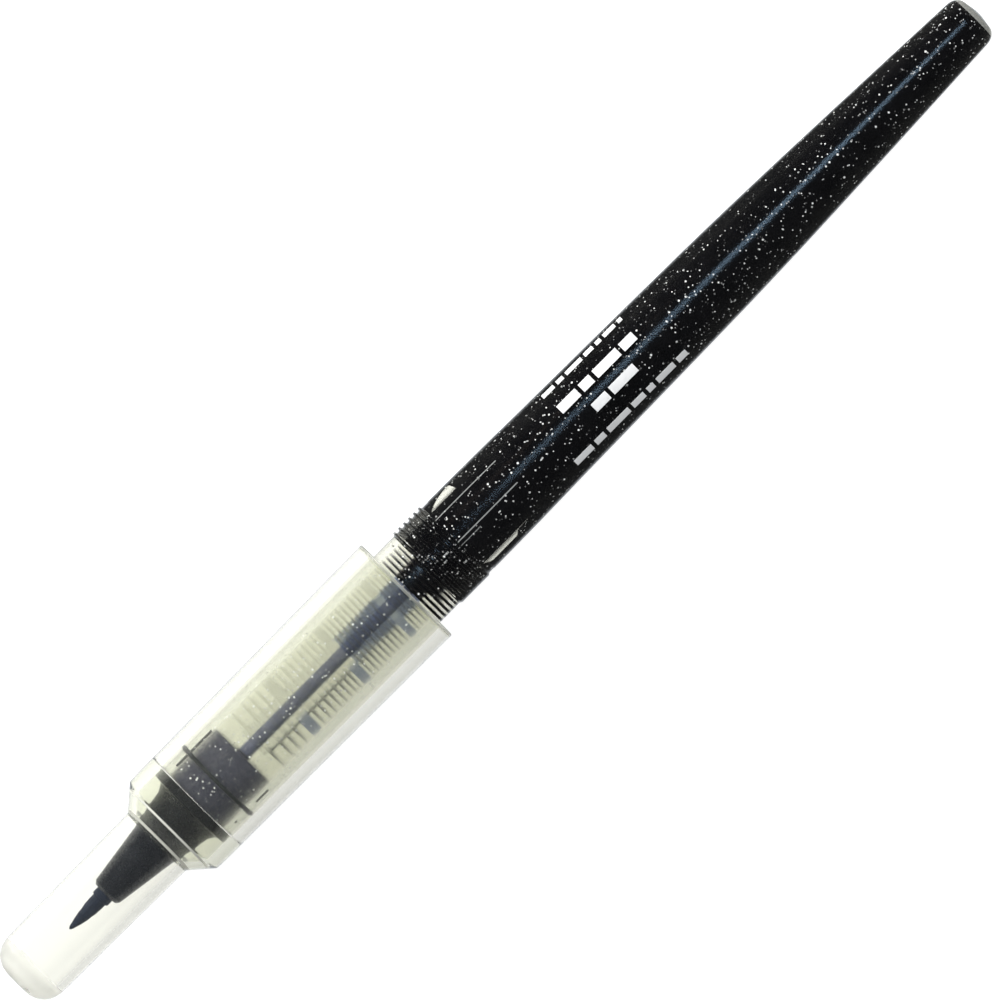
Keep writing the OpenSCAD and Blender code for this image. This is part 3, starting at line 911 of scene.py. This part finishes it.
# ------------------------------------------------------------------ glitter in the barrel wall
N = 6200
fv, ff, shine = [], [], []
area = np.cumsum([r_out(a) for a in np.arange(21.2, 111.4, 0.1)])
area = area / area[-1]
ua = np.interp(RNG.random(N), area, np.arange(21.2, 111.4, 0.1))
for i in range(N):
    a = float(ua[i])
    ph = RNG.uniform(0, 2 * math.pi)
    ro = r_out(a)
    deep = 0.10 + 0.5 * RNG.random() ** 1.3
    if 23.0 < a < 23.8:
        deep = 0.42 + 0.2 * RNG.random()
    r = ro - deep
    big = RNG.random() ** 3
    q = RNG.random()
    lvl = 0 if q > 0.78 else (1 if q > 0.5 else 2)
    size = (0.058, 0.048, 0.040)[lvl] + 0.045 * big    # circumradius in mm
    tilt, spin, roll = RNG.normal(0, 0.22), RNG.uniform(0, math.pi), RNG.uniform(0, 2 * math.pi)
    c = np.array(at(r, a, ph))
    nrm = np.array([0, math.sin(ph), math.cos(ph)])
    t1 = np.array([1.0, 0, 0])
    t2 = np.cross(nrm, t1)
    tn = nrm * math.cos(tilt) + (t1 * math.cos(roll) + t2 * math.sin(roll)) * math.sin(tilt)
    tn /= np.linalg.norm(tn)
    u = np.cross(tn, t1 if abs(tn[0]) < 0.9 else t2)
    u /= np.linalg.norm(u)
    w = np.cross(tn, u)
    b = len(fv)
    for h in (-0.005, 0.005):
        for k_ in range(6):
            g = spin + math.pi / 3 * k_
            fv.append(c + (u * math.cos(g) + w * math.sin(g)) * size * MM + tn * h * MM)
    ff.append(tuple(b + k_ for k_ in (5, 4, 3, 2, 1, 0)))
    ff.append(tuple(b + 6 + k_ for k_ in range(6)))
    for k_ in range(6):
        k2 = (k_ + 1) % 6
        ff.append((b + k_, b + k2, b + 6 + k2, b + 6 + k_))
    s = (0.9 + 0.1 * RNG.random(), 0.25 + 0.35 * RNG.random(), 0.05 + 0.15 * RNG.random())[lvl]
    if RNG.random() < min(0.75, abs(r * math.sin(ph) - 0.5) / 4.2):      # painted shade: flakes further towards either side (±Y) are more often made fainter, as if they caught less light
        s *= 0.4
    shine += [s] * 8
flk = put(fv, ff, "glitter_flakes", [mat_flake], "pen", None, recalc=False, sharp=20)
at_ = flk.data.attributes.new("shine", "FLOAT", "FACE")
at_.data.foreach_set("value", np.array(shine, np.float32))

# ------------------------------------------------------------------ printed bars
pv, pf = [], []


def bar(a0, a1, off0, off1, skew=0.0):
    """A printed dash between stations a0, a1 and offsets off0..off1 across the picture (mm, + towards -Y)."""
    na, nph = max(2, int((a1 - a0) / 0.15)), 6
    base = len(pv)
    for h in (0.004, 0.016):
        for i in range(na + 1):
            a = a0 + (a1 - a0) * i / na
            ro = r_out(a)
            p0, p1 = -math.asin(max(-0.995, min(0.995, off0 / ro))), -math.asin(max(-0.995, min(0.995, off1 / ro)))
            for j in range(nph + 1):
                t = j / nph
                pv.append(at(ro + h, a + skew * (0.5 - t), p0 + (p1 - p0) * t))
    L = (na + 1) * (nph + 1)

    def q(l, i, j):
        return base + l * L + i * (nph + 1) + j
    for i in range(na):
        for j in range(nph):
            pf.append((q(1, i, j), q(1, i, j + 1), q(1, i + 1, j + 1), q(1, i + 1, j)))
            pf.append((q(0, i, j), q(0, i + 1, j), q(0, i + 1, j + 1), q(0, i, j + 1)))
    for i in range(na):
        pf.append((q(0, i, 0), q(1, i, 0), q(1, i + 1, 0), q(0, i + 1, 0)))
        pf.append((q(0, i, nph), q(0, i + 1, nph), q(1, i + 1, nph), q(1, i, nph)))
    for j in range(nph):
        pf.append((q(0, 0, j), q(0, 0, j + 1), q(1, 0, j + 1), q(1, 0, j)))
        pf.append((q(0, na, j), q(1, na, j), q(1, na, j + 1), q(0, na, j + 1)))


def dash_row(s0, s1, v0, v1, lengths, gap_px):
    s = s0
    i = 0
    while s < s1 - 2:
        ln = min(lengths[i % len(lengths)], s1 - s)
        bar(s2a(s), s2a(s + ln), v0 * k, v1 * k)
        s += ln + gap_px
        i += 1


dash_row(104.6, 216.3, -40.6, -36.6, [16, 9, 22, 12, 7], 4.0)
dash_row(107.4, 216.3, -22.5, -12.5, [26, 15, 33, 18], 4.5)
dash_row(132.8, 191.4, 0.5, 10.5, [20, 34], 4.5)
dash_row(81.4, 240.8, 28.0, 34.0, [24, 13, 30, 17, 9], 4.5)
put(pv, pf, "print_dashes", [mat_print], "pen", sharp=60)

# ------------------------------------------------------------------ floor, lights, world
tilt = math.atan2(2.905, 65.2)
fl = bpy.data.meshes.new("floor")
S = 3.0
pivot = Vector((X0 + 45.4 * MM, 0, -0.00001))
corners = []
for x, y in ((-S, -S), (S, -S), (S, S), (-S, S)):
    corners.append((pivot.x + x * math.cos(tilt), y, pivot.z + x * math.sin(tilt)))
fl.from_pydata(corners, [], [(0, 1, 2, 3)])
floor = bpy.data.objects.new("floor", fl)
bpy.context.scene.collection.objects.link(floor)
m, nt, out = new_mat("floor_pale")
p = principled(nt, (0.2, 0.2, 0.2), 0.9)
p.inputs["Specular IOR Level"].default_value = 0.1
p.inputs["Emission Color"].default_value = (1, 1, 1, 1)
tc = nt.nodes.new("ShaderNodeTexCoord")
sep = nt.nodes.new("ShaderNodeSeparateXYZ")
nt.links.new(tc.outputs["Object"], sep.inputs["Vector"])
painted_light_ramp = nt.nodes.new("ShaderNodeMapRange")          # painted light: the floor glows a little brighter on the far (+Y) side of the pen
painted_light_ramp.interpolation_type = "SMOOTHSTEP"
painted_light_ramp.inputs["From Min"].default_value, painted_light_ramp.inputs["From Max"].default_value = -0.0016, 0.0022
painted_light_ramp.inputs["To Min"].default_value, painted_light_ramp.inputs["To Max"].default_value = 0.95, 1.17
nt.links.new(sep.outputs["Y"], painted_light_ramp.inputs["Value"])
painted_shadow_ramp = nt.nodes.new("ShaderNodeMapRange")          # painted shadow: seen through the plastic, the floor glows dimmer on the near (-Y) side, standing in for the pen's shadow
painted_shadow_ramp.interpolation_type = "SMOOTHSTEP"
painted_shadow_ramp.inputs["From Min"].default_value, painted_shadow_ramp.inputs["From Max"].default_value = -0.0085, 0.0022
painted_shadow_ramp.inputs["To Min"].default_value, painted_shadow_ramp.inputs["To Max"].default_value = 0.66, 1.12
nt.links.new(sep.outputs["Y"], painted_shadow_ramp.inputs["Value"])
flp = nt.nodes.new("ShaderNodeLightPath")
pick = nt.nodes.new("ShaderNodeMapRange")
nt.links.new(flp.outputs["Is Camera Ray"], pick.inputs["Value"])
nt.links.new(painted_shadow_ramp.outputs["Result"], pick.inputs["To Min"])
nt.links.new(painted_light_ramp.outputs["Result"], pick.inputs["To Max"])
nt.links.new(pick.outputs["Result"], p.inputs["Emission Strength"])
# painted shade: seen through the plastic, the floor's glow is a little warmer, as in the tinted shadow under the pen
painted_shade_tint = nt.nodes.new("ShaderNodeMix")
painted_shade_tint.data_type = "RGBA"
nt.links.new(flp.outputs["Is Camera Ray"], painted_shade_tint.inputs[0])
painted_shade_tint.inputs[6].default_value = (1.0, 1.0, 0.93, 1)
painted_shade_tint.inputs[7].default_value = (1.0, 1.0, 1.0, 1)
nt.links.new(painted_shade_tint.outputs[2], p.inputs["Emission Color"])
nt.links.new(p.outputs[0], out.inputs["Surface"])
fl.materials.append(m)
floor.visible_glossy = False


def area(name, loc, target, sx, sy, radiance, color, glossy=True, spread=None):
    """Rectangular lamp of the given radiance, aimed at target, with its long side along X."""
    l = bpy.data.lights.new(name, "AREA")
    l.shape = "RECTANGLE"
    l.size, l.size_y = sx, sy
    l.energy = radiance * sx * sy * math.pi * math.pi
    l.color = color
    if spread:
        l.spread = spread
    o = bpy.data.objects.new(name, l)
    bpy.context.scene.collection.objects.link(o)
    o.location = loc
    z = (Vector(loc) - Vector(target)).normalized()
    x = Vector((1, 0, 0))
    y = z.cross(x).normalized()
    x = y.cross(z).normalized()
    o.rotation_euler = Matrix((x, y, z)).transposed().to_euler()
    o.visible_camera = False
    o.visible_glossy = glossy
    return o


# narrow cool strip, mirrored as the long soft line on the tank
strip_a = area("strip", (0.072, 0.076, 0.36), (0.026, 0, AX), 0.118, 0.07, 0.6, (0.50, 0.74, 1.0))
strip_b = area("strip_middle", (0.078, 0.0762, 0.361), (0.032, 0, AX), 0.055, 0.07, 0.5, (0.50, 0.74, 1.0))
strip_c = area("strip_soft", (0.072, 0.074, 0.362), (0.026, 0, AX), 0.118, 0.125, 0.22, (0.50, 0.74, 1.0))
# a faint warm strip further round
warm = area("strip_warm", (0.012, 0.30, 0.33), (0.012, 0, AX), 0.04, 0.09, 0.05, (1.0, 0.75, 0.62))
# broad soft key from the far side, only for the scattering surfaces
key = area("key", (-0.05, 0.45, 0.42), (0, 0, AX), 0.6, 0.5, 1.6, (1.0, 0.99, 0.97), glossy=False)
for o in (strip_a, strip_b, strip_c, warm, key):
    o.visible_transmission = False

world = bpy.data.worlds.new("world")
bpy.context.scene.world = world
world.use_nodes = True
wn = world.node_tree
wn.nodes.clear()
wo = wn.nodes.new("ShaderNodeOutputWorld")
# white backdrop behind and through clear plastic, softer fill on matt surfaces, little of it in the gloss


def backdrop(color, strength):
    b = wn.nodes.new("ShaderNodeBackground")
    b.inputs["Color"].default_value = (*color, 1)
    b.inputs["Strength"].default_value = strength
    return b


lp = wn.nodes.new("ShaderNodeLightPath")
fill = backdrop((0.97, 0.98, 1.0), 0.42)
gloss = backdrop((0.9, 0.95, 1.0), 0.05)
white = backdrop((1.0, 1.0, 0.99), 1.0)
wt = wn.nodes.new("ShaderNodeTexCoord")
wz = wn.nodes.new("ShaderNodeSeparateXYZ")
wn.links.new(wt.outputs["Generated"], wz.inputs["Vector"])


def by_height(z0, z1, below, above, target):
    n = wn.nodes.new("ShaderNodeMapRange")
    n.interpolation_type = "SMOOTHSTEP"
    n.inputs["From Min"].default_value, n.inputs["From Max"].default_value = z0, z1
    n.inputs["To Min"].default_value, n.inputs["To Max"].default_value = below, above
    wn.links.new(wz.outputs["Z"], n.inputs["Value"])
    wn.links.new(n.outputs["Result"], target.inputs["Strength"])


# grazing reflections of the backdrop stay bright, reflections of the ceiling are dim
by_height(-0.97, -0.75, 0.75, 0.05, gloss)
# rays that leave upwards through clear plastic meet a dim ceiling instead of the backdrop
by_height(0.0, 0.3, 1.0, 0.06, white)
m1 = wn.nodes.new("ShaderNodeMixShader")
wn.links.new(lp.outputs["Is Glossy Ray"], m1.inputs["Fac"])
wn.links.new(fill.outputs[0], m1.inputs[1])
wn.links.new(gloss.outputs[0], m1.inputs[2])
either = wn.nodes.new("ShaderNodeMath")
either.operation = "MAXIMUM"
wn.links.new(lp.outputs["Is Camera Ray"], either.inputs[0])
wn.links.new(lp.outputs["Is Transmission Ray"], either.inputs[1])
m2 = wn.nodes.new("ShaderNodeMixShader")
wn.links.new(either.outputs[0], m2.inputs["Fac"])
wn.links.new(m1.outputs[0], m2.inputs[1])
wn.links.new(white.outputs[0], m2.inputs[2])
wn.links.new(m2.outputs[0], wo.inputs["Surface"])

sc = bpy.context.scene
sc.view_settings.view_transform = "Standard"
sc.cycles.max_bounces = 20
sc.cycles.transmission_bounces = 18
sc.cycles.glossy_bounces = 12
sc.cycles.diffuse_bounces = 3
sc.cycles.transparent_max_bounces = 48
